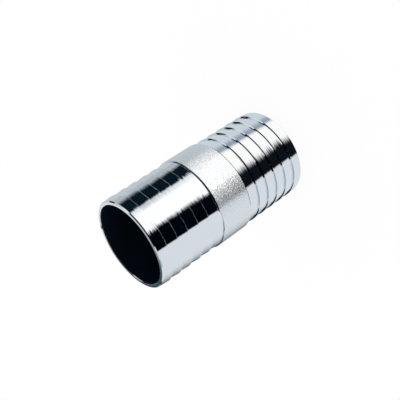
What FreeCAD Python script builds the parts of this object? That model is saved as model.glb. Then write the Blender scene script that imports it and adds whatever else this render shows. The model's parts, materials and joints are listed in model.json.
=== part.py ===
# Hose barb repair connector: one steel tube, turned down and barbed at both ends.
import FreeCAD, Part
import math
import os
import Sketcher

NODE = "connector_body"

# Driving dimensions: name, value in mm (a plain number where it is a count), what it sizes.
DIMENSIONS = [
    ("crest_diameter", 50.8, "over the barbs, the bore of the hose that they hold"),
    ("band_step", 0.5, "radial step from the crests up to the unturned tube of the centre band"),
    ("tube_wall", 3.15, "wall of the unturned tube, from the band in to the bore"),
    ("band_length", 19.1, "unturned centre band, wall to wall"),
    ("relief_width", 0.6, "undercut between the band's wall and the last barb"),
    ("barb_count", 6, "barbs on each end"),
    ("barb_pitch", 6.75, "crest to crest"),
    ("barb_depth", 0.75, "crest to root, radial"),
    ("crest_land", 0.3, "narrow round land on each crest"),
    ("shoulder_run", 0.2, "axial lean of the steep side of a barb"),
    ("lead_length", 5.8, "first ramp, from the end face to the first crest"),
    ("tip_step", 0.45, "radial step from the crests down to the end of the first ramp"),
    ("rim_chamfer", 0.5, "outer edge break of the end faces"),
    ("bore_chamfer", 0.3, "inner edge break of the end faces"),
    ("tool_overrun", 2.0, "how far a cut runs out into the air"),
]

# Sizes that follow from the driving ones, as expressions of the sheet.
CREST = "Sizes.crest_diameter / 2"
BAND = "(Sizes.crest_diameter / 2 + Sizes.band_step)"
BORE = "(Sizes.crest_diameter / 2 + Sizes.band_step - Sizes.tube_wall)"
ROOT = "(Sizes.crest_diameter / 2 - Sizes.barb_depth)"
TIP = "(Sizes.crest_diameter / 2 - Sizes.tip_step)"
OUTSIDE = "(Sizes.crest_diameter / 2 + Sizes.band_step + Sizes.tool_overrun)"
HALF_BAND = "Sizes.band_length / 2"
LAST_CREST = "(Sizes.band_length / 2 + Sizes.relief_width)"
FIRST_CREST = "(Sizes.band_length / 2 + Sizes.relief_width + (Sizes.barb_count - 1) * Sizes.barb_pitch)"
LEAD_START = (
    "(Sizes.band_length / 2 + Sizes.relief_width"
    " + (Sizes.barb_count - 1) * Sizes.barb_pitch + Sizes.crest_land)"
)
HALF_LENGTH = (
    "(Sizes.band_length / 2 + Sizes.relief_width"
    " + (Sizes.barb_count - 1) * Sizes.barb_pitch + Sizes.crest_land + Sizes.lead_length)"
)


def make_sheet(doc):
    """Writes the driving dimensions into a spreadsheet and gives each an alias."""
    sheet = doc.addObject("Spreadsheet::Sheet", "Sizes")
    for row, (alias, value, meaning) in enumerate(DIMENSIONS, start=1):
        sheet.set(f"A{row}", alias)
        sheet.set(f"B{row}", str(value))
        sheet.set(f"C{row}", meaning)
        sheet.setAlias(f"B{row}", alias)
    doc.recompute()
    return sheet


def origin_feature(body, role):
    """Returns the origin plane or axis of a body that has this role."""
    return next(item for item in body.Origin.OriginFeatures if item.Role == role)


def half_profile_sketch(body, name):
    """Makes an empty sketch on the XZ plane: its x is the radius, its y runs along the tube."""
    sketch = body.newObject("Sketcher::SketchObject", name)
    sketch.AttachmentSupport = [(origin_feature(body, "XZ_Plane"), "")]
    sketch.MapMode = "FlatFace"
    return sketch


class Outline:
    """A closed chain of straight lines in a sketch, whose corners are bound to the sheet."""

    def __init__(self, sketch, corners):
        """Draws the chain through corners, each a rough (radius, height) in mm."""
        self.sketch = sketch
        points = [FreeCAD.Vector(radius, height, 0) for radius, height in corners]
        self.lines = []
        for start, end in zip(points, points[1:] + points[:1]):
            self.lines.append(sketch.addGeometry(Part.LineSegment(start, end), False))
        for line, following in zip(self.lines, self.lines[1:] + self.lines[:1]):
            sketch.addConstraint(Sketcher.Constraint("Coincident", line, 2, following, 1))

    def level(self, *lines):
        """Makes these lines run square to the axis."""
        for line in lines:
            self.sketch.addConstraint(Sketcher.Constraint("Horizontal", self.lines[line]))

    def along_axis(self, *lines):
        """Makes these lines run parallel to the axis."""
        for line in lines:
            self.sketch.addConstraint(Sketcher.Constraint("Vertical", self.lines[line]))

    def bind(self, constraint, name, expression):
        """Adds a constraint under this name and ties its value to an expression of the sheet."""
        index = self.sketch.addConstraint(constraint)
        self.sketch.renameConstraint(index, name)
        self.sketch.setExpression(f"Constraints.{name}", expression)

    def place(self, corner, radius=None, height=None):
        """Ties a corner's radius and height, each to an expression of the sheet."""
        line = self.lines[corner]
        point = self.sketch.getPoint(line, 1)
        if radius is not None:
            across = Sketcher.Constraint("DistanceX", -1, 1, line, 1, point.x)
            self.bind(across, f"radius_{corner}", radius)
        if height is not None:
            along = Sketcher.Constraint("DistanceY", -1, 1, line, 1, point.y)
            self.bind(along, f"height_{corner}", height)


def turn(body, kind, name, sketch):
    """Turns a sketch once round the tube's axis, as added or as removed material."""
    feature = body.newObject(f"PartDesign::{kind}", name)
    feature.Profile = sketch
    feature.ReferenceAxis = (sketch, ["V_Axis"])
    feature.Angle = 360.0
    sketch.Visibility = False
    return feature


def raw_tube(body):
    """The length of tube that the connector is turned from."""
    sketch = half_profile_sketch(body, "tube_wall_section")
    outline = Outline(sketch, [(22.75, -50), (25.9, -50), (25.9, 50), (22.75, 50)])
    outline.level(0, 2)
    outline.along_axis(1, 3)
    outline.place(0, radius=BORE, height=f"-{HALF_LENGTH}")
    outline.place(2, radius=BAND, height=HALF_LENGTH)
    return turn(body, "Revolution", "tube", sketch)


def end_turning(body):
    """Turns one end down to the diameter of the crests, up to the wall of the band."""
    sketch = half_profile_sketch(body, "end_turning_section")
    outline = Outline(sketch, [(25.4, 9.55), (27.9, 9.55), (27.9, 52), (25.4, 52)])
    outline.level(0, 2)
    outline.along_axis(1, 3)
    outline.place(0, radius=CREST, height=HALF_BAND)
    outline.place(2, radius=OUTSIDE, height=f"{HALF_LENGTH} + Sizes.tool_overrun")
    return turn(body, "Groove", "end_turning", sketch)


def lead_ramp(body):
    """Cuts the first ramp, which rises from the end face to the first crest."""
    sketch = half_profile_sketch(body, "lead_ramp_section")
    corners = [(25.4, 44.2), (27.9, 44.2), (27.9, 52), (24.95, 52), (24.95, 50)]
    outline = Outline(sketch, corners)
    outline.level(0, 2)
    outline.along_axis(1, 3)
    outline.place(0, radius=CREST, height=LEAD_START)
    outline.place(2, radius=OUTSIDE, height=f"{HALF_LENGTH} + Sizes.tool_overrun")
    outline.place(4, radius=TIP, height=HALF_LENGTH)
    return turn(body, "Groove", "lead_ramp", sketch)


def barb_flute(body):
    """Cuts the space between the first two crests: steep shoulder, sharp root, long ramp."""
    sketch = half_profile_sketch(body, "barb_flute_section")
    corners = [(25.4, 43.9), (24.65, 43.7), (25.4, 37.45), (27.9, 37.45), (27.9, 43.9)]
    outline = Outline(sketch, corners)
    outline.level(2, 4)
    outline.along_axis(3)
    outline.place(0, radius=CREST, height=FIRST_CREST)
    outline.place(1, radius=ROOT, height=f"{FIRST_CREST} - Sizes.shoulder_run")
    outline.place(2, radius=CREST, height=f"{FIRST_CREST} - Sizes.barb_pitch + Sizes.crest_land")
    outline.place(3, radius=OUTSIDE)
    return turn(body, "Groove", "barb_flute", sketch)


def band_relief(body):
    """Cuts the undercut that parts the last barb from the wall of the band."""
    sketch = half_profile_sketch(body, "band_relief_section")
    corners = [(25.4, 10.15), (24.65, 9.95), (24.65, 9.55), (27.9, 9.55), (27.9, 10.15)]
    outline = Outline(sketch, corners)
    outline.along_axis(1, 3)
    outline.level(2, 4)
    outline.place(0, radius=CREST, height=LAST_CREST)
    outline.place(1, radius=ROOT, height=f"{LAST_CREST} - Sizes.shoulder_run")
    outline.place(2, height=HALF_BAND)
    outline.place(3, radius=OUTSIDE)
    return turn(body, "Groove", "band_relief", sketch)


def mirror_end(body, features):
    """Repeats the single cuts of one end on the other end."""
    mirrored = body.newObject("PartDesign::Mirrored", "other_end")
    mirrored.Originals = features
    mirrored.MirrorPlane = (origin_feature(body, "XY_Plane"), [""])
    body.Tip = mirrored
    return mirrored


def repeat_flutes(body, flute):
    """Repeats the flute down the row of barbs, and that row on the other end."""
    repeat = body.newObject("PartDesign::MultiTransform", "barb_rows")
    repeat.Originals = [flute]
    row = body.newObject("PartDesign::LinearPattern", "one_barb_row")
    row.Direction = (origin_feature(body, "Z_Axis"), [""])
    row.Reversed = True
    row.setExpression("Occurrences", "Sizes.barb_count - 1")
    row.setExpression("Length", "(Sizes.barb_count - 2) * Sizes.barb_pitch")
    other = body.newObject("PartDesign::Mirrored", "other_barb_row")
    other.MirrorPlane = (origin_feature(body, "XY_Plane"), [""])
    repeat.Transformations = [row, other]
    body.Tip = repeat
    return repeat


def ring_edges(shape, radius, heights):
    """Names the round edges of a shape that have this radius and lie at one of these heights."""
    names = []
    for number, edge in enumerate(shape.Edges, start=1):
        curve = edge.Curve
        if not isinstance(curve, Part.Circle):
            continue
        if not math.isclose(curve.Radius, radius, abs_tol=1e-4):
            continue
        if any(math.isclose(curve.Center.z, height, abs_tol=1e-4) for height in heights):
            names.append(f"Edge{number}")
    return names


def break_edges(body, name, base, radius, heights, size):
    """Chamfers the rings of one radius that lie at these heights."""
    edges = ring_edges(base.Shape, radius, heights)
    if len(edges) != len(heights):
        raise RuntimeError(f"{name}: found {len(edges)} of {len(heights)} edges")
    feature = body.newObject("PartDesign::Chamfer", name)
    feature.Base = (base, edges)
    feature.setExpression("Size", size)
    body.Tip = feature
    return feature


def build_connector(doc, sheet):
    """Builds the whole connector as one body, standing on one of its end faces."""
    body = doc.addObject("PartDesign::Body", NODE)
    body.Label = NODE
    raw_tube(body)
    single_cuts = [end_turning(body), lead_ramp(body), band_relief(body)]
    flute = barb_flute(body)
    doc.recompute()
    mirror_end(body, single_cuts)
    doc.recompute()
    rows = repeat_flutes(body, flute)
    doc.recompute()

    crest = sheet.crest_diameter / 2
    bore = crest + sheet.band_step - sheet.tube_wall
    barb_row = (sheet.barb_count - 1) * sheet.barb_pitch + sheet.crest_land
    half_length = sheet.band_length / 2 + sheet.relief_width + barb_row + sheet.lead_length
    ends = [half_length, -half_length]
    tip = crest - sheet.tip_step
    rim = break_edges(body, "rim_edge_break", rows, tip, ends, "Sizes.rim_chamfer")
    doc.recompute()
    break_edges(body, "bore_edge_break", rim, bore, ends, "Sizes.bore_chamfer")
    body.setExpression("Placement.Base.z", HALF_LENGTH)
    doc.recompute()
    return body


def check(doc, bodies):
    """Stops the build if an object failed or a shape is empty or not valid."""
    for item in doc.Objects:
        if "Invalid" in item.State or "Error" in item.State:
            raise RuntimeError(f"{item.Name} failed: {item.State}")
    for body in bodies:
        if body.Shape.isNull() or not body.Shape.isValid() or not body.Shape.Solids:
            raise RuntimeError(f"{body.Label} has no valid solid")


def main():
    """Builds the document and writes each node's shape to its own file."""
    doc = FreeCAD.newDocument("hose_barb_repair_connector")
    sheet = make_sheet(doc)
    bodies = [build_connector(doc, sheet)]
    check(doc, bodies)
    os.makedirs("parts", exist_ok=True)
    for body in bodies:
        body.Shape.exportStep(f"parts/{body.Label}.step")
        box = body.Shape.BoundBox
        print(
            f"{body.Label}: {len(body.Shape.Solids)} solid, {body.Shape.Volume:.1f} mm3, "
            f"{box.XLength:.2f} x {box.YLength:.2f} x {box.ZLength:.2f} mm, lowest {box.ZMin:.3f}"
        )


main()
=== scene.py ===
"""Looks of a zinc-plated steel hose connector that stands on one of its ends in a pale studio."""

import json
import logging
import math
from dataclasses import dataclass, field
from enum import IntEnum
from typing import ClassVar

import bpy
import numpy as np
from mathutils import Matrix, Vector


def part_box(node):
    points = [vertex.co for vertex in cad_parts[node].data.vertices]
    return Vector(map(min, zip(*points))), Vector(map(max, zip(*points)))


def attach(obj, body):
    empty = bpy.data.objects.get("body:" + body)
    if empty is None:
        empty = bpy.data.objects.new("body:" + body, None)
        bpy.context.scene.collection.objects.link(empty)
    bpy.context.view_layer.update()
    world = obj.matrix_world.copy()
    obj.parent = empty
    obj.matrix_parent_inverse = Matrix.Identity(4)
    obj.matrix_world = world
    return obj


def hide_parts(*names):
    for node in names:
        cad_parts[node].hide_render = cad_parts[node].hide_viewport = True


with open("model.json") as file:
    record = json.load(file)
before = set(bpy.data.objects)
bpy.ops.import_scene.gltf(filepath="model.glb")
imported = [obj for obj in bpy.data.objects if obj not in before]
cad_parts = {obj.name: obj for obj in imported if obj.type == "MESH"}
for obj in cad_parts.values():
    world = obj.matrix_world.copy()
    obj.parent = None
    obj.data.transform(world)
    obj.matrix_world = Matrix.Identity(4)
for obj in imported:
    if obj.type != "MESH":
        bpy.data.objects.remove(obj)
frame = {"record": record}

LOG = logging.getLogger("hose_connector")
MM = 0.001
NODE = "connector_body"
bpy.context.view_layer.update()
HALF_TURN = 180.0

# Sockets of a Mix node that mixes colours: its share, its two colours and its result.
MIX_SHARE, MIX_FIRST, MIX_SECOND, MIX_RESULT = 0, 6, 7, 2

Colour = tuple[float, float, float]
Socket = bpy.types.NodeSocket
Term = Socket | Colour | float

WHITE: Colour = (1.0, 1.0, 1.0)
KEY_WHITE: Colour = (1.14, 1.14, 1.14)
WARM_WHITE: Colour = (1.105, 1.085, 1.045)
HAZE: Colour = (0.80, 0.83, 0.86)
WALL: Colour = (0.64, 0.71, 0.75)
BLACK: Colour = (0.0005, 0.0021, 0.004)
SOFT_BLACK: Colour = (0.004, 0.0065, 0.009)
TEAL_BLACK: Colour = (0.0025, 0.009, 0.0155)

# A dark patch in the rim's colour, for a real notch and for a painted dark reflection: its place and its
# reach, both in degrees round the tube.
NickAndPaintedReflection = tuple[float, float]
# Painted dark reflection: a dark dash painted on the upper rim's edge break, where a dark flag is
# reflected.
PAINTED_RIM_REFLECTION: NickAndPaintedReflection = (-62.5, 7.0)
# A real notch in the rim.
SHORT_NICK: NickAndPaintedReflection = (-138.0, 3.5)


class Surface(IntEnum):
    """Which finish a stretch of the turned tube has; the number is its material slot."""

    TURNED = 0
    BAND = 1
    FACED = 2
    LIP = 3
    BORE = 4


@dataclass(frozen=True)
class TubeSizes:
    """Sizes of the tube in metres: the first four come from the frame, the rest are turned details.

    Attributes:
        length: end face to end face.
        band_radius: unturned tube of the centre band.
        crest_radius: lands on the crests of the barbs.
        bore_radius: plain bore.
        band_length: wall to wall of the centre band.
        relief_width: undercut beside the band.
        barb_count: barbs on each end.
        barb_pitch: crest to crest.
        barb_depth: crest to root.
        crest_land: width of the land on a crest.
        shoulder_run: lean of the steep side of a barb.
        tip_step: from the crests down to the tip of the first ramp.
        rim_break: outer edge break of an end.
        bore_break: inner edge break of an end.
    """

    length: float
    band_radius: float
    crest_radius: float
    bore_radius: float
    band_length: float = 19.1 * MM
    relief_width: float = 0.6 * MM
    barb_count: int = 6
    barb_pitch: float = 6.75 * MM
    barb_depth: float = 0.75 * MM
    crest_land: float = 0.3 * MM
    shoulder_run: float = 0.2 * MM
    tip_step: float = 0.45 * MM
    rim_break: float = 0.5 * MM
    bore_break: float = 0.3 * MM

    @classmethod
    def from_frame(cls) -> "TubeSizes":
        """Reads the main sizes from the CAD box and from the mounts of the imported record.

        Returns:
            The sizes of the connector.
        """
        low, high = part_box(NODE)
        mounts = {mount["name"]: mount for mount in frame["record"]["mounts"]}
        return cls(
            length=high[2] - low[2],
            band_radius=(high[0] - low[0]) / 2,
            crest_radius=mounts["upper_hose_end"]["dims"]["r_mm"] * MM,
            bore_radius=mounts["flow_bore"]["dims"]["r_mm"] * MM,
        )


@dataclass
class Section:
    """Half section of a turned piece: a closed chain of corners, each with its own rounding.

    Attributes:
        radii: distance of each corner from the axis, in metres.
        heights: height of each corner, in metres.
        roundings: radius of the small arc that takes each corner's place, in metres.
        arc_steps: straight steps in each arc.
        hem: length of the narrow strip that keeps a flat stretch flat beside an arc, in metres.
    """

    radii: list[float] = field(default_factory=list)
    heights: list[float] = field(default_factory=list)
    roundings: list[float] = field(default_factory=list)
    arc_steps: int = 4
    hem: float = 0.002 * MM

    def add(self, radius: float, height: float, rounding: float) -> None:
        """Adds one corner to the chain.

        Args:
            radius: its distance from the axis, in metres.
            height: its height, in metres.
            rounding: radius of the arc that takes its place, in metres.
        """
        self.radii.append(radius)
        self.heights.append(height)
        self.roundings.append(rounding)

    def extend(self, other: "Section") -> None:
        """Adds every corner of another chain, in its order.

        Args:
            other: the chain to take them from.
        """
        self.radii += other.radii
        self.heights += other.heights
        self.roundings += other.roundings

    def flipped(self, length: float) -> "Section":
        """Turns the chain over for the other end of a tube.

        Args:
            length: length of the tube, in metres.

        Returns:
            The same corners in reverse order, measured from the other end.
        """
        heights = [length - height for height in reversed(self.heights)]
        return Section(self.radii[::-1], heights, self.roundings[::-1], self.arc_steps, self.hem)

    def points(self) -> np.ndarray:
        """Rounds the corners and returns the closed outline.

        With unit directions a (towards the corner) and b (away from it), a turn of t between
        them and a rounding r, the arc starts r*tan(t/2) before the corner. Its point at the
        share s of the turn is start + r*sin(s*t)*a + r*(1 - cos(s*t))*n, where n is square to
        a on the side of b. One more point lies a hem before the arc and one a hem after it.

        Returns:
            Array of shape (points, 2) with radius and height in metres.
        """
        corner = np.column_stack([self.radii, self.heights])
        rounding = np.array(self.roundings)[:, None]
        away = np.roll(corner, -1, axis=0) - corner
        away /= np.linalg.norm(away, axis=1, keepdims=True)
        towards = np.roll(away, 1, axis=0)
        cross = towards[:, 0] * away[:, 1] - towards[:, 1] * away[:, 0]
        turn = np.arctan2(np.abs(cross), (towards * away).sum(axis=1))[:, None]
        side = np.sign(cross)[:, None] * np.column_stack([-towards[:, 1], towards[:, 0]])
        cut = rounding * np.tan(turn / 2)
        start = corner - cut * towards
        stop = corner + cut * away
        share = np.linspace(0, 1, self.arc_steps + 1)[None, :, None] * turn[:, None, :]
        arc = (
            start[:, None, :]
            + rounding[:, None] * np.sin(share) * towards[:, None, :]
            + rounding[:, None] * (1 - np.cos(share)) * side[:, None, :]
        )
        before = (start - self.hem * towards)[:, None, :]
        after = (stop + self.hem * away)[:, None, :]
        return np.concatenate([before, arc, after], axis=1).reshape(-1, 2)


@dataclass(frozen=True)
class Finish:
    """What all finishes of the connector have in common.

    Attributes:
        name: name of the material.
        colour: linear colour of the bare surface.
        roughness: blur of its reflections.
    """

    name: str
    colour: Colour
    roughness: float

    def build(self) -> bpy.types.Material:
        """Makes the material, with this finish's own nodes.

        Returns:
            The new material.
        """
        material = bpy.data.materials.new(self.name)
        material.use_nodes = True
        tree = NodeTree(material.node_tree)
        shader = tree.node("ShaderNodeBsdfPrincipled", Metallic=1.0, Roughness=self.roughness)
        tree.feed(self.colour, shader.inputs["Base Color"])
        output = tree.node("ShaderNodeOutputMaterial")
        tree.link(shader.outputs["BSDF"], output.inputs["Surface"])
        self.dress(tree, shader)
        return material

    def dress(self, tree: "NodeTree", shader: bpy.types.Node) -> None:
        """Adds the marks and colour of this finish; the plain one has none.

        Args:
            tree: nodes of the material.
            shader: its shader node.
        """


class NodeTree:
    """Short ways to fill a node tree, which is emptied first."""

    def __init__(self, tree: bpy.types.NodeTree) -> None:
        """Keeps the tree and removes what is in it.

        Args:
            tree: nodes of a material or of the world.
        """
        self.tree = tree
        self.tree.nodes.clear()

    def node(
        self,
        kind: str,
        settings: dict[str, object] | None = None,
        **values: object,
    ) -> bpy.types.Node:
        """Adds a node.

        Args:
            kind: the node's type name.
            settings: attributes of the node, such as its operation.
            values: unlinked inputs by name; a space in the name is written as an underscore.

        Returns:
            The new node.
        """
        made = self.tree.nodes.new(kind)
        for name, value in (settings or {}).items():
            setattr(made, name, value)
        for name, value in values.items():
            made.inputs[name.replace("_", " ")].default_value = value
        return made

    def link(self, source: Socket, target: Socket) -> None:
        """Links an output to an input.

        Args:
            source: the output.
            target: the input.
        """
        self.tree.links.new(source, target)

    def feed(self, term: Term, target: Socket) -> None:
        """Links an output to an input, or sets the input.

        Args:
            term: an output, a colour or a number.
            target: the input.
        """
        if isinstance(term, Socket):
            self.link(term, target)
        elif isinstance(term, tuple):
            target.default_value = (*term, 1.0)
        else:
            target.default_value = term

    def place(self) -> Socket:
        """Reads the place on the object.

        Returns:
            Socket of the place, in metres from the object's origin.
        """
        return self.node("ShaderNodeTexCoord").outputs["Object"]

    def split(self, vector: Socket) -> bpy.types.Node:
        """Splits a place or direction into its axes.

        Args:
            vector: socket of the place or direction.

        Returns:
            The node, with the outputs X, Y and Z.
        """
        made = self.node("ShaderNodeSeparateXYZ")
        self.link(vector, made.inputs["Vector"])
        return made

    def roughen(self, shader: bpy.types.Node, pattern: Socket, height: float) -> None:
        """Raises a pattern as bumps on the surface.

        Args:
            shader: shader node of the surface.
            pattern: socket of the pattern, from 0 to 1.
            height: height of the bumps, in metres.
        """
        bump = self.node("ShaderNodeBump", None, Strength=1.0, Distance=height)
        self.link(pattern, bump.inputs["Height"])
        self.link(bump.outputs["Normal"], shader.inputs["Normal"])

    def math(self, operation: str, *terms: Term) -> Socket:
        """Adds a Math node.

        Args:
            operation: Blender's name of the operation.
            terms: numbers or output sockets, in the node's order.

        Returns:
            The result's socket.
        """
        made = self.node("ShaderNodeMath", {"operation": operation})
        for target, term in zip(made.inputs, terms):
            self.feed(term, target)
        return made.outputs[0]

    def ramp(self, value: Term, low: float, high: float, start: float, stop: float) -> Socket:
        """Maps low..high smoothly to start..stop and holds the ends.

        Args:
            value: the number or socket to map.
            low: value that gives start.
            high: value that gives stop.
            start: result at and below low.
            stop: result at and above high.

        Returns:
            The result's socket.
        """
        made = self.node(
            "ShaderNodeMapRange",
            {"interpolation_type": "SMOOTHSTEP", "clamp": True},
            From_Min=low,
            From_Max=high,
            To_Min=start,
            To_Max=stop,
        )
        self.feed(value, made.inputs["Value"])
        return made.outputs["Result"]

    def mix(self, share: Term, first: Term, second: Term) -> Socket:
        """Mixes two colours.

        Args:
            share: number or socket, 0 for the first colour and 1 for the second.
            first: colour or socket.
            second: colour or socket.

        Returns:
            The mixed colour's socket.
        """
        made = self.node("ShaderNodeMix", {"data_type": "RGBA", "clamp_factor": True})
        self.feed(share, made.inputs[MIX_SHARE])
        self.feed(first, made.inputs[MIX_FIRST])
        self.feed(second, made.inputs[MIX_SECOND])
        return made.outputs[MIX_RESULT]

    def noise(self, vector: Socket, scale: float, detail: float, **values: float) -> Socket:
        """Adds a noise pattern.

        Args:
            vector: socket of the coordinates.
            scale: waves to a unit of the coordinates.
            detail: layers of finer noise.
            values: further inputs by name.

        Returns:
            Socket of its grey value.
        """
        made = self.node("ShaderNodeTexNoise", None, Scale=scale, Detail=detail, **values)
        self.link(vector, made.inputs["Vector"])
        return made.outputs["Fac"]

    def azimuth(self, vector: Socket) -> Socket:
        """Gives the angle of a place or direction round the Z axis: 0 at -Y, growing towards -X.

        Args:
            vector: socket of the place or direction.

        Returns:
            Socket of the angle, from -180 to 180 degrees.
        """
        axes = self.split(vector)
        west = self.math("MULTIPLY", axes.outputs["X"], -1.0)
        south = self.math("MULTIPLY", axes.outputs["Y"], -1.0)
        return self.math("MULTIPLY", self.math("ARCTAN2", west, south), HALF_TURN / math.pi)

    def turned_from(self, azimuth: Socket, middle: float) -> Socket:
        """Measures an azimuth from another one.

        Args:
            azimuth: socket of the azimuth.
            middle: the azimuth to measure from, in degrees.

        Returns:
            Socket of the difference, from -180 to 180 degrees.
        """
        return self.math("WRAP", self.math("SUBTRACT", azimuth, middle), HALF_TURN, -HALF_TURN)

    def patch(self, vector: Socket, azimuth: float, reach: float, core: float = 0.5) -> Socket:
        """Gives 1 round an azimuth, falling to 0 at the end of its reach.

        Args:
            vector: socket of the place.
            azimuth: middle of the patch, in degrees.
            reach: how far it reaches to each side, in degrees.
            core: share of the reach in which it stays at 1.

        Returns:
            The result's socket.
        """
        away = self.math("ABSOLUTE", self.turned_from(self.azimuth(vector), azimuth))
        return self.ramp(away, core * reach, reach, 1.0, 0.0)

    def scaled(self, vector: Socket, scale: tuple[float, float, float]) -> Socket:
        """Stretches coordinates.

        Args:
            vector: socket of the coordinates.
            scale: factor of each axis.

        Returns:
            Socket of the stretched coordinates.
        """
        made = self.node("ShaderNodeMapping", {"vector_type": "POINT"}, Scale=scale)
        self.link(vector, made.inputs["Vector"])
        return made.outputs["Vector"]


@dataclass(frozen=True)
class TurnedZinc(Finish):
    """Bright zinc over lathe-turned steel: fine marks run round the tube.

    Attributes:
        groove_spacing: rough spacing of the marks, in metres.
        groove_height: height of the marks, in metres.
        groove_change: changes of a mark to a metre round the tube.
        fine_share: strength of the finer marks in the marks.
        anisotropy: how much more the marks blur along the tube than round it.
        quarter_turn: turn that lays that blur along the tube, as a share of a full one.
        nicks_and_painted_reflections: dark patches in the rim's colour, a real notch and, on the turned
            zinc, a painted dark reflection.
        nick_and_reflection_height: height over the lower end above which the dark patches show, in metres.
    """

    groove_spacing: float = 1.1 * MM
    groove_height: float = 0.03 * MM
    groove_change: float = 12.0
    fine_share: float = 0.6
    anisotropy: float = 0.6
    quarter_turn: float = 0.25
    nicks_and_painted_reflections: tuple[NickAndPaintedReflection, ...] = (SHORT_NICK,)
    nick_and_reflection_height: float = 99.4 * MM

    def dress(self, tree: NodeTree, shader: bpy.types.Node) -> None:
        """Adds the turning marks as bump, lays the blur along the tube and darkens the rim's dark patches:
        a real notch, and a painted dark reflection where one is listed.

        Args:
            tree: nodes of the material.
            shader: its shader node.
        """
        place = tree.place()
        stretch = (self.groove_change, self.groove_change, 1.0 / self.groove_spacing)
        marks = tree.noise(tree.scaled(place, stretch), 1.0, 1.0, Roughness=self.fine_share)
        tree.roughen(shader, marks, self.groove_height)
        tangent = tree.node("ShaderNodeTangent", {"direction_type": "RADIAL", "axis": "Z"})
        tree.link(tangent.outputs["Tangent"], shader.inputs["Tangent"])
        shader.inputs["Anisotropic"].default_value = self.anisotropy
        shader.inputs["Anisotropic Rotation"].default_value = self.quarter_turn
        height = tree.split(place).outputs["Z"]
        near_end = tree.math("GREATER_THAN", height, self.nick_and_reflection_height)
        colour: Term = self.colour
        # Darkens the rim's patches: the real notch, and the painted dark reflection where one is listed.
        for azimuth, reach in self.nicks_and_painted_reflections:
            nick_and_reflection_mask = tree.math("MULTIPLY", tree.patch(place, azimuth, reach), near_end)
            colour = tree.mix(nick_and_reflection_mask, colour, BLACK)
        tree.feed(colour, shader.inputs["Base Color"])


@dataclass(frozen=True)
class BandZinc(Finish):
    """Zinc over the tube's own unturned surface: matt, with the fine grain of drawn steel.

    Attributes:
        grain: size of the grain, in metres.
        grain_height: height of the grain, in metres.
        dull: roughness of its dull specks.
        speck_count: specks to each grain.
        speck_edge: noise values at which a speck begins and at which it is wholly dull.
    """

    grain: float = 0.85 * MM
    grain_height: float = 0.05 * MM
    dull: float = 0.30
    speck_count: float = 1.3
    speck_edge: tuple[float, float] = (0.42, 0.60)

    def dress(self, tree: NodeTree, shader: bpy.types.Node) -> None:
        """Adds the grain as bump and as duller specks.

        Args:
            tree: nodes of the material.
            shader: its shader node.
        """
        place = tree.place()
        grain = tree.noise(place, 1.0 / self.grain, 0.0)
        tree.roughen(shader, grain, self.grain_height)
        speck = tree.noise(place, self.speck_count / self.grain, 0.0)
        roughness = tree.ramp(speck, *self.speck_edge, self.roughness, self.dull)
        tree.link(roughness, shader.inputs["Roughness"])


@dataclass(frozen=True)
class LipPaintedShadeAndReflection(Finish):
    """Painted shade on the bore's edge break: a dark colour, with a painted reflection of light at one
    place.

    Attributes:
        painted_reflection_colour: linear colour of the painted reflection of light.
        painted_reflection_azimuth: where it is, in degrees round the tube.
        painted_reflection_reach: how far it reaches to each side, in degrees.
    """

    painted_reflection_colour: Colour = (0.80, 0.80, 0.84)
    painted_reflection_azimuth: float = 134.0
    painted_reflection_reach: float = 12.0

    def dress(self, tree: NodeTree, shader: bpy.types.Node) -> None:
        """Adds the painted reflection of light at one place.

        Args:
            tree: nodes of the material.
            shader: its shader node.
        """
        place = tree.place()
        # Painted reflection of light: a bright patch in the dark colour of the edge break.
        painted_reflection_mask = tree.patch(place, self.painted_reflection_azimuth, self.painted_reflection_reach)
        tree.link(tree.mix(painted_reflection_mask, self.colour, self.painted_reflection_colour), shader.inputs["Base Color"])


@dataclass(frozen=True)
class BorePaintedShade(Finish):
    """Painted shade of the bore: a dark, dull colour that stands in for the shade deep inside the tube.

    Attributes:
        bare: how much of it reflects as metal; the rest is a dark diffuse colour, part of the painted
            shade.
        blotches: blotches of tone to a metre.
        blotch_detail: layers of finer blotches in them.
        fine_share: strength of each finer layer.
        dark_share: tone of the darkest blotch, as a share of the colour.
    """

    bare: float = 0.75
    blotches: float = 140.0
    blotch_detail: float = 4.0
    fine_share: float = 0.6
    dark_share: float = 0.6

    def dress(self, tree: NodeTree, shader: bpy.types.Node) -> None:
        """Makes part of it metallic and adds blotches of tone to the painted shade.

        Args:
            tree: nodes of the material.
            shader: its shader node.
        """
        shader.inputs["Metallic"].default_value = self.bare
        place = tree.place()
        blotch = tree.noise(place, self.blotches, self.blotch_detail, Roughness=self.fine_share)
        dark = tuple(self.dark_share * part for part in self.colour)
        tree.link(tree.mix(blotch, dark, self.colour), shader.inputs["Base Color"])


FINISHES: dict[Surface, Finish] = {
    # The turned zinc carries the painted dark reflection on its rim.
    Surface.TURNED: TurnedZinc(
        "turned_zinc", (0.87, 0.89, 0.92), roughness=0.03, nicks_and_painted_reflections=(SHORT_NICK, PAINTED_RIM_REFLECTION)
    ),
    Surface.BAND: BandZinc("band_zinc", (0.86, 0.88, 0.90), roughness=0.20),
    Surface.FACED: TurnedZinc("faced_zinc", (0.85, 0.88, 0.90), roughness=0.06),
    # Painted shade at the bore's edge break, with a painted reflection of light at one place.
    Surface.LIP: LipPaintedShadeAndReflection("lip_painted_shade_and_reflection", (0.05, 0.07, 0.08), roughness=0.15),
    # Painted shade: the bore's dark colour stands in for the shade deep inside the tube.
    Surface.BORE: BorePaintedShade("bore_painted_shade", (0.003, 0.019, 0.043), roughness=0.5),
}


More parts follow.
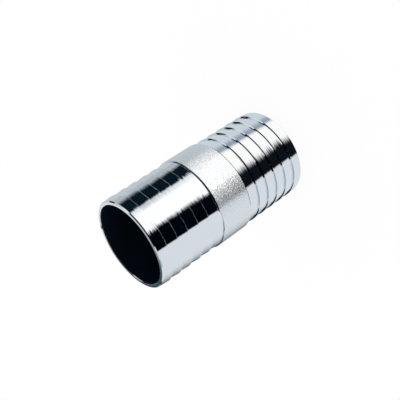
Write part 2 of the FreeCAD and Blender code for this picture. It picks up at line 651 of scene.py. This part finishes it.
@dataclass(frozen=True)
class BarbedEnd:
    """One barbed end, from its end face up to the wall of the band.

    Attributes:
        sizes: sizes of the tube.
        wear: how far wear has taken down the land's edge towards the ramp, in metres.
        edge: rounding of the crests' steep edges, in metres.
        root: rounding of the roots, in metres.
        soft: rounding where two surfaces meet at a slight angle, in metres.
        widening: how far wear has taken back each side of the undercut beside the band, in metres.
        face_edge: rounding between the end face and its outer edge break, in metres.
        rim_edge: rounding between that edge break and the first ramp, in metres.
    """

    sizes: TubeSizes
    wear: float = 0.04 * MM
    edge: float = 0.002 * MM
    root: float = 0.004 * MM
    soft: float = 0.4 * MM
    widening: float = 0.0
    face_edge: float = 0.15 * MM
    rim_edge: float = 0.2 * MM

    def section(self) -> Section:
        """Draws the lower end, from the end face up.

        Barb k has its land from first + k*pitch to that plus the land's width, its shoulder
        from there to the root, and its ramp from the root to the next land.

        Returns:
            The corners of the end.
        """
        s = self.sizes
        chain = Section()
        tip = s.crest_radius - s.tip_step
        root = s.crest_radius - s.barb_depth
        band_wall = (s.length - s.band_length) / 2
        first = band_wall - s.relief_width - (s.barb_count - 1) * s.barb_pitch - s.crest_land
        slope = s.tip_step / first
        chain.add(tip - s.rim_break, 0.0, self.face_edge)
        chain.add(tip + slope * s.rim_break, s.rim_break, self.rim_edge)
        for barb in range(s.barb_count):
            land = first + barb * s.barb_pitch
            last = barb == s.barb_count - 1
            shoulder = land + s.crest_land - (self.widening if last else 0.0)
            chain.add(s.crest_radius - self.wear, land, self.soft)
            chain.add(s.crest_radius, shoulder, self.edge)
            chain.add(root, shoulder + s.shoulder_run, self.root)
        chain.add(root, band_wall + self.widening, self.root)
        return chain


@dataclass(frozen=True)
class CentreBand:
    """The unturned band between the two barbed ends.

    Attributes:
        sizes: sizes of the tube.
        edge: rounding of its two edges, in metres.
        widening: how far the upper undercut reaches into it, in metres.
    """

    sizes: TubeSizes
    edge: float = 0.05 * MM
    widening: float = 0.0

    def section(self) -> Section:
        """Draws the band, from its lower edge up.

        Returns:
            Its two corners.
        """
        s = self.sizes
        wall = (s.length - s.band_length) / 2
        chain = Section()
        chain.add(s.band_radius, wall, self.edge)
        chain.add(s.band_radius, s.length - wall - self.widening, self.edge)
        return chain


@dataclass(frozen=True)
class Bore:
    """The plain bore with an edge break at each mouth.

    Attributes:
        sizes: sizes of the tube.
        edge: rounding of the corners, in metres.
    """

    sizes: TubeSizes
    edge: float = 0.1 * MM

    def section(self) -> Section:
        """Draws the bore, from the upper mouth down.

        Returns:
            The corners of the bore and its edge breaks.
        """
        s = self.sizes
        chain = Section()
        chain.add(s.bore_radius + s.bore_break, s.length, self.edge)
        chain.add(s.bore_radius, s.length - s.bore_break, self.edge)
        chain.add(s.bore_radius, s.bore_break, self.edge)
        chain.add(s.bore_radius + s.bore_break, 0.0, self.edge)
        return chain


@dataclass(frozen=True)
class ConnectorTube:
    """The whole connector: one turned tube with two barbed ends, a band and a bore.

    Attributes:
        sizes: sizes of the tube.
        used_edge: rounding of the crests' steep edges on the upper end, which is more used.
        widening: how far wear has taken back each side of the upper end's undercut, in metres.
        segments: steps round the tube.
        face_depth: depth below an end face down to which a step of the outline is that face's.
        bore_depth: depth into the wall down to which a step of the outline is the bore's.
    """

    sizes: TubeSizes
    used_edge: float = 0.11 * MM
    widening: float = 0.08 * MM
    segments: int = 240
    face_depth: float = 0.05 * MM
    bore_depth: float = 0.01 * MM

    def section(self) -> np.ndarray:
        """Draws the wall, up the outside and down the bore.

        Returns:
            Closed outline, radius and height of each point in metres.
        """
        lower = BarbedEnd(self.sizes)
        upper = BarbedEnd(self.sizes, edge=self.used_edge, widening=self.widening)
        chain = Section()
        chain.extend(lower.section())
        chain.extend(CentreBand(self.sizes, widening=self.widening).section())
        chain.extend(upper.section().flipped(self.sizes.length))
        chain.extend(Bore(self.sizes).section())
        return chain.points()

    def surfaces(self, outline: np.ndarray) -> np.ndarray:
        """Tells which finish each step of the outline has.

        Args:
            outline: closed outline, radius and height of each point.

        Returns:
            One material slot number for each step from a point to the next.
        """
        s = self.sizes
        middle = (outline + np.roll(outline, -1, axis=0)) / 2
        radius = middle[:, 0]
        from_end = np.minimum(middle[:, 1], s.length - middle[:, 1])
        kinds = np.full(len(outline), Surface.TURNED, dtype=np.int32)
        kinds[radius > (s.crest_radius + s.band_radius) / 2] = Surface.BAND
        kinds[from_end < self.face_depth] = Surface.FACED
        kinds[radius < s.bore_radius + s.bore_break] = Surface.LIP
        inside = (radius < s.bore_radius + self.bore_depth) & (from_end > s.bore_break)
        kinds[inside] = Surface.BORE
        return kinds

    def mesh(self) -> bpy.types.Mesh:
        """Turns the outline once round the Z axis.

        Vertex (i, j) is (r_i cos a_j, r_i sin a_j, z_i) with a_j = 2 pi j / segments. Step i of
        the outline and step j of the turn span one four-sided face that points outwards.

        Returns:
            The mesh, with a material slot number on each face.
        """
        outline = self.section()
        angle = np.linspace(0, 2 * math.pi, self.segments, endpoint=False)
        radius = outline[:, :1]
        height = np.broadcast_to(outline[:, 1:], (len(outline), self.segments))
        grid = np.stack([radius * np.cos(angle), radius * np.sin(angle), height], axis=-1)
        index = np.arange(grid.shape[0] * grid.shape[1]).reshape(grid.shape[:2])
        beside = np.roll(index, -1, axis=1)
        above = np.roll(index, -1, axis=0)
        across = np.roll(beside, -1, axis=0)
        faces = np.stack([index, beside, across, above], axis=-1).reshape(-1, 4)
        mesh = bpy.data.meshes.new("connector_tube")
        mesh.vertices.add(index.size)
        mesh.vertices.foreach_set("co", grid.astype(np.float32).ravel())
        mesh.loops.add(faces.size)
        mesh.loops.foreach_set("vertex_index", faces.astype(np.int32).ravel())
        mesh.polygons.add(len(faces))
        mesh.polygons.foreach_set("loop_start", np.arange(0, faces.size, 4, dtype=np.int32))
        mesh.polygons.foreach_set("material_index", np.repeat(self.surfaces(outline), self.segments))
        mesh.polygons.foreach_set("use_smooth", np.ones(len(faces), dtype=bool))
        mesh.update(calc_edges=True)
        mesh.validate()
        return mesh

    def build(self) -> bpy.types.Object:
        """Makes the piece, dresses it and lets it stand for the CAD tube.

        Returns:
            The piece.
        """
        mesh = self.mesh()
        for surface in Surface:
            mesh.materials.append(FINISHES[surface].build())
        piece = bpy.data.objects.new("connector_tube", mesh)
        bpy.context.scene.collection.objects.link(piece)
        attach(piece, "root")
        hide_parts(NODE)
        return piece


@dataclass(frozen=True)
class Card:
    """One panel of the studio, as the metal sees it: a patch of directions with soft edges.

    Azimuth is 0 towards the camera (-Y) and grows towards -X, in degrees. Level is the sine
    of the height over the horizon, from -1 straight down to 1 straight up.

    Attributes:
        name: what the panel is.
        colour: linear colour of its light.
        azimuth: where it starts and where it stops.
        level: its lowest and its highest level.
        azimuth_soft: half width of its two upright edges, in degrees.
        level_soft: half width of its lower and its upper edge.
        ragged: degrees by which its starting and its stopping edge fray with the level.
        FRAY_SCALE: waves of the fray from one level to the level 1 above it.
        FRAY_DETAIL: layers of finer waves in them.
        FRAY_SPREAD: widens the noise, which stays near its middle, to about the reach.
    """

    name: str
    colour: Colour
    azimuth: tuple[float, float]
    level: tuple[float, float] = (-1.0, 1.0)
    azimuth_soft: tuple[float, float] = (3.0, 3.0)
    level_soft: tuple[float, float] = (0.05, 0.05)
    ragged: tuple[float, float] = (0.0, 0.0)
    FRAY_SCALE: ClassVar[float] = 28.0
    FRAY_DETAIL: ClassVar[float] = 2.0
    FRAY_SPREAD: ClassVar[float] = 4.0

    def edges(self, tree: NodeTree, azimuth: Socket, level: Socket) -> list[Socket]:
        """Measures the azimuth from the card's middle, frayed for the edges that are ragged.

        Args:
            tree: the world's nodes.
            azimuth: socket with the azimuth of the direction.
            level: socket with the level of the direction.

        Returns:
            Two sockets, one for the starting edge and one for the stopping edge.
        """
        turned = tree.turned_from(azimuth, sum(self.azimuth) / 2)
        edges = [turned, turned]
        if any(self.ragged):
            fray = tree.node(
                "ShaderNodeTexNoise",
                {"noise_dimensions": "1D"},
                Scale=self.FRAY_SCALE,
                Detail=self.FRAY_DETAIL,
            )
            tree.link(level, fray.inputs["W"])
            for side, reach in enumerate(self.ragged):
                spread = self.FRAY_SPREAD * reach
                shift = tree.math("MULTIPLY_ADD", fray.outputs["Fac"], spread, -spread / 2)
                edges[side] = tree.math("ADD", turned, shift)
        return edges

    def mask(self, tree: NodeTree, azimuth: Socket, level: Socket) -> Socket:
        """Gives 1 inside the card and 0 outside it.

        Args:
            tree: the world's nodes.
            azimuth: socket with the azimuth of the direction.
            level: socket with the level of the direction.

        Returns:
            The mask's socket.
        """
        half = (self.azimuth[1] - self.azimuth[0]) / 2
        starting, stopping = self.edges(tree, azimuth, level)
        start_soft, stop_soft = self.azimuth_soft
        low, high = self.level
        low_soft, high_soft = self.level_soft
        parts = [
            tree.ramp(starting, -half - start_soft, -half + start_soft, 0.0, 1.0),
            tree.ramp(stopping, half - stop_soft, half + stop_soft, 1.0, 0.0),
        ]
        if low > -1.0:
            parts.append(tree.ramp(level, low - low_soft, low + low_soft, 0.0, 1.0))
        if high < 1.0:
            parts.append(tree.ramp(level, high - high_soft, high + high_soft, 1.0, 0.0))
        mask = parts[0]
        for part in parts[1:]:
            mask = tree.math("MULTIPLY", mask, part)
        return mask


@dataclass(frozen=True)
class Studio:
    """Pale studio: white to the camera, even soft light, and panels and flags for the metal.

    Attributes:
        tent: colour that the metal sees where no card stands.
        floor_size: side of the floor, in metres.
        shadow_share: how much of the floor's own shading shows to the camera.
        cards: cards, each over those before it.
    """

    tent: Colour = (0.745, 0.785, 0.815)
    floor_size: float = 12.0
    shadow_share: float = 0.08
    cards: tuple[Card, ...] = (
        # Walls low at the side
        Card("dim wall", (0.56, 0.62, 0.655), (-185.0, -92.0), (-1.0, 1.0), (30.0, 12.0)),
        Card("low side wall", WALL, (-160.0, -96.0), (-1.0, -0.55), (20.0, 5.0), (0.03, 0.02)),
        Card("low wall", (0.32, 0.39, 0.46), (-90.0, -60.0), (-0.90, -0.60), (9.0, 3.0), (0.03, 0.03)),
        # Bright panels low in front
        Card("key panel", KEY_WHITE, (-63.0, 4.0), (-1.0, -0.1), (8.0, 5.0), (0.03, 0.02)),
        Card("far key", WARM_WHITE, (-70.0, 5.0), (-1.0, -0.53), (8.0, 8.0), (0.03, 0.01)),
        Card("side haze", HAZE, (-66.0, -52.0), (-0.42, -0.1), (3.0, 9.0), (0.03, 0.02), (0, 14)),
        Card("band key", (1.25, 1.24, 1.225), (-85.0, 34.0), (-0.56, -0.45), (14.0, 7.0), (0.02, 0.02)),
        Card("band gleam", (2.0, 1.98, 1.95), (-14.0, 11.0), (-0.55, -0.46), (8.0, 9.0), (0.02, 0.02)),
        Card("band flag", (0.45, 0.50, 0.55), (32.5, 43.5), (-0.53, -0.42), (6.0, 3.0), (0.01, 0.02)),
        # Dark flags that draw the stripes on both ends, and what shows between them
        Card("near flag", BLACK, (-2.5, 46.5), (-0.43, 0.0), (4.0, 2.0), (0.02, 0.05), (17, 0)),
        Card("far flag", SOFT_BLACK, (-4.5, 47.5), (-0.92, -0.54), (12.5, 3.5), (0.03, 0.005), (12, 0)),
        Card("near haze", (0.63, 0.64, 0.66), (-66.0, -49.5), (-0.26, -0.19), (3.0, 7.0), (0.012, 0.02)),
        Card("side flag", TEAL_BLACK, (-107.0, -61.0), (-0.43, 0.22), (13.0, 3.0), (0.02, 0.03), (7, 6)),
        Card("side step", (0.47, 0.51, 0.54), (-124.0, -102.3), (-0.45, -0.315), (4.0, 10.0), (0.02, 0.01)),
        Card("ceiling flag", BLACK, (-80.0, 45.0), (-0.1, 0.50), (4.0, 2.0), (0.02, 0.04)),
        Card("ring light", KEY_WHITE, (-60.0, 2.0), (0.28, 0.385), (4.0, 3.0), (0.02, 0.015)),
        Card("high flag", BLACK, (-86.0, 57.0), (0.455, 1.0), (3.0, 1.5), (0.03, 0.02)),
        Card("post step", BLACK, (-142.0, -127.0), (0.475, 0.60), (2.0, 2.0), (0.012, 0.012)),
        Card("ceiling edge", BLACK, (-107.0, -80.0), (0.47, 0.61), (3.0, 4.0), (0.012, 0.015)),
        # Lights and posts above
        Card("sky light", (0.80, 0.86, 0.90), (-134.0, -88.0), (0.68, 0.90), (2.0, 4.0), (0.015, 0.03)),
        Card("side light", (0.90, 0.93, 0.95), (56.0, 105.0), (0.44, 0.64), (3.0, 8.0), (0.02, 0.02)),
        Card("side dusk", (0.62, 0.71, 0.77), (54.0, 107.0), (0.10, 0.455), (3.0, 8.0), (0.05, 0.01)),
        Card("ceiling", (0.38, 0.46, 0.56), (58.0, 136.0), (0.65, 0.78), (1.5, 8.0), (0.02, 0.02)),
        Card("high light", (0.64, 0.70, 0.72), (58.0, 136.0), (0.79, 0.93), (1.5, 8.0), (0.02, 0.02)),
        Card("left post", BLACK, (-168.0, -129.0), (0.58, 0.69), (3.0, 3.0), (0.012, 0.01)),
        Card("post foot", BLACK, (-130.0, -113.5), (0.415, 0.465), (3.0, 2.0), (0.008, 0.01)),
        Card("right post", BLACK, (149.0, 178.0), (0.46, 0.80), (6.0, 2.0), (0.02, 0.03)),
        # Walls and lights at the back
        Card("low back wall", (0.06, 0.08, 0.10), (142.0, 176.0), (-0.58, 0.1), (33.0, 3.0), (0.05, 0.05)),
        Card("back light", (0.78, 0.81, 0.80), (-184.0, -168.0), (0.30, 0.47), (3.0, 6.0), (0.03, 0.02)),
        Card("back dusk", (0.12, 0.14, 0.15), (170.0, 181.0), (0.0, 0.366), (3.0, 1.5), (0.05, 0.008)),
        Card("back flag", (0.015, 0.05, 0.065), (138.0, 179.5), (0.1, 0.49), (5.0, 4.5), (0.05, 0.02)),
    )

    def build_world(self) -> bpy.types.World:
        """Makes the world: white to the camera, the panels to metal, even white to the rest.

        Returns:
            The world.
        """
        world = bpy.data.worlds.new("studio")
        bpy.context.scene.world = world
        world.use_nodes = True
        world.cycles.sampling_method = "NONE"
        tree = NodeTree(world.node_tree)
        direction = tree.node("ShaderNodeTexCoord").outputs["Generated"]
        azimuth = tree.azimuth(direction)
        level = tree.split(direction).outputs["Z"]
        colour: Term = self.tent
        for card in self.cards:
            colour = tree.mix(card.mask(tree, azimuth, level), colour, card.colour)
        rays = tree.node("ShaderNodeLightPath")
        colour = tree.mix(rays.outputs["Is Glossy Ray"], WHITE, colour)
        background = tree.node("ShaderNodeBackground", None, Strength=1.0)
        tree.link(colour, background.inputs["Color"])
        output = tree.node("ShaderNodeOutputWorld")
        tree.link(background.outputs["Background"], output.inputs["Surface"])
        return world

    def build_floor(self) -> bpy.types.Object:
        """Makes the white floor, which keeps the connector's soft shadow.

        Returns:
            The floor.
        """
        half = self.floor_size / 2
        mesh = bpy.data.meshes.new("studio_floor")
        corners = [(-half, -half, 0.0), (half, -half, 0.0), (half, half, 0.0), (-half, half, 0.0)]
        mesh.from_pydata(corners, [], [(0, 1, 2, 3)])
        material = bpy.data.materials.new("studio_floor")
        material.use_nodes = True
        tree = NodeTree(material.node_tree)
        paper = tree.node("ShaderNodeBsdfDiffuse", None, Color=(*WHITE, 1.0))
        glow = tree.node("ShaderNodeEmission", None, Color=(*WHITE, 1.0), Strength=1.0)
        rays = tree.node("ShaderNodeLightPath")
        share = tree.math("MULTIPLY", rays.outputs["Is Camera Ray"], 1.0 - self.shadow_share)
        mixed = tree.node("ShaderNodeMixShader")
        tree.link(share, mixed.inputs[0])
        tree.link(paper.outputs["BSDF"], mixed.inputs[1])
        tree.link(glow.outputs["Emission"], mixed.inputs[2])
        output = tree.node("ShaderNodeOutputMaterial")
        tree.link(mixed.outputs["Shader"], output.inputs["Surface"])
        mesh.materials.append(material)
        floor = bpy.data.objects.new("studio_floor", mesh)
        floor.visible_glossy = False
        bpy.context.scene.collection.objects.link(floor)
        return floor


@dataclass(frozen=True)
class PhotoCamera:
    """The camera that took the photograph, placed by the middle of the open mouth.

    Attributes:
        image_side: side of the square picture, in pixels.
        mouth_pixel: where the middle of the mouth lies in the picture, from its top left corner.
        mouth_depth: distance of the mouth's middle along the line of sight, in metres.
        lens: focal length, in millimetres.
        sensor: width of the sensor, in millimetres.
        look_down: angle of the line of sight below the horizon, in degrees.
        roll: turn of the camera about its line of sight, in degrees.
        nearest: distance from which things are seen, in metres.
    """

    image_side: float = 400.0
    mouth_pixel: tuple[float, float] = (129.42, 245.49)
    mouth_depth: float = 349.5 * MM
    lens: float = 63.76
    sensor: float = 36.0
    look_down: float = 29.0
    roll: float = -124.03
    nearest: float = 10.0 * MM

    def build(self, mouth: Vector) -> bpy.types.Object:
        """Adds the camera and makes it the scene's.

        Args:
            mouth: middle of the photographed mouth, in metres.

        Returns:
            The camera.
        """
        turn = Matrix.Rotation(math.radians(90.0 - self.look_down), 4, "X")
        turn = turn @ Matrix.Rotation(math.radians(self.roll), 4, "Z")
        pixel = self.mouth_depth * self.sensor / self.lens / self.image_side
        across = (self.mouth_pixel[0] - self.image_side / 2) * pixel
        upward = (self.image_side / 2 - self.mouth_pixel[1]) * pixel
        place = mouth - turn.to_3x3() @ Vector((across, upward, -self.mouth_depth))
        data = bpy.data.cameras.new("photo_camera")
        data.lens = self.lens
        data.sensor_width = self.sensor
        data.clip_start = self.nearest
        camera = bpy.data.objects.new("photo_camera", data)
        camera.matrix_world = Matrix.Translation(place) @ turn
        bpy.context.scene.collection.objects.link(camera)
        bpy.context.scene.camera = camera
        return camera


def main() -> None:
    """Builds the connector, the studio and the camera."""
    logging.basicConfig(level=logging.INFO, format="%(name)s: %(message)s")
    bpy.context.scene.view_settings.view_transform = "Standard"
    sizes = TubeSizes.from_frame()
    tube = ConnectorTube(sizes).build()
    LOG.info("%s: %d faces, %.1f mm long", tube.name, len(tube.data.polygons), sizes.length / MM)
    studio = Studio()
    studio.build_world()
    floor = studio.build_floor()
    LOG.info("%s: %.0f m wide, %d studio cards", floor.name, studio.floor_size, len(studio.cards))
    camera = PhotoCamera().build(Vector((0.0, 0.0, sizes.length)))
    place = tuple(round(part, 4) for part in camera.location)
    LOG.info("%s: lens %.2f mm at %s", camera.name, camera.data.lens, place)


if __name__ == "__main__":
    main()
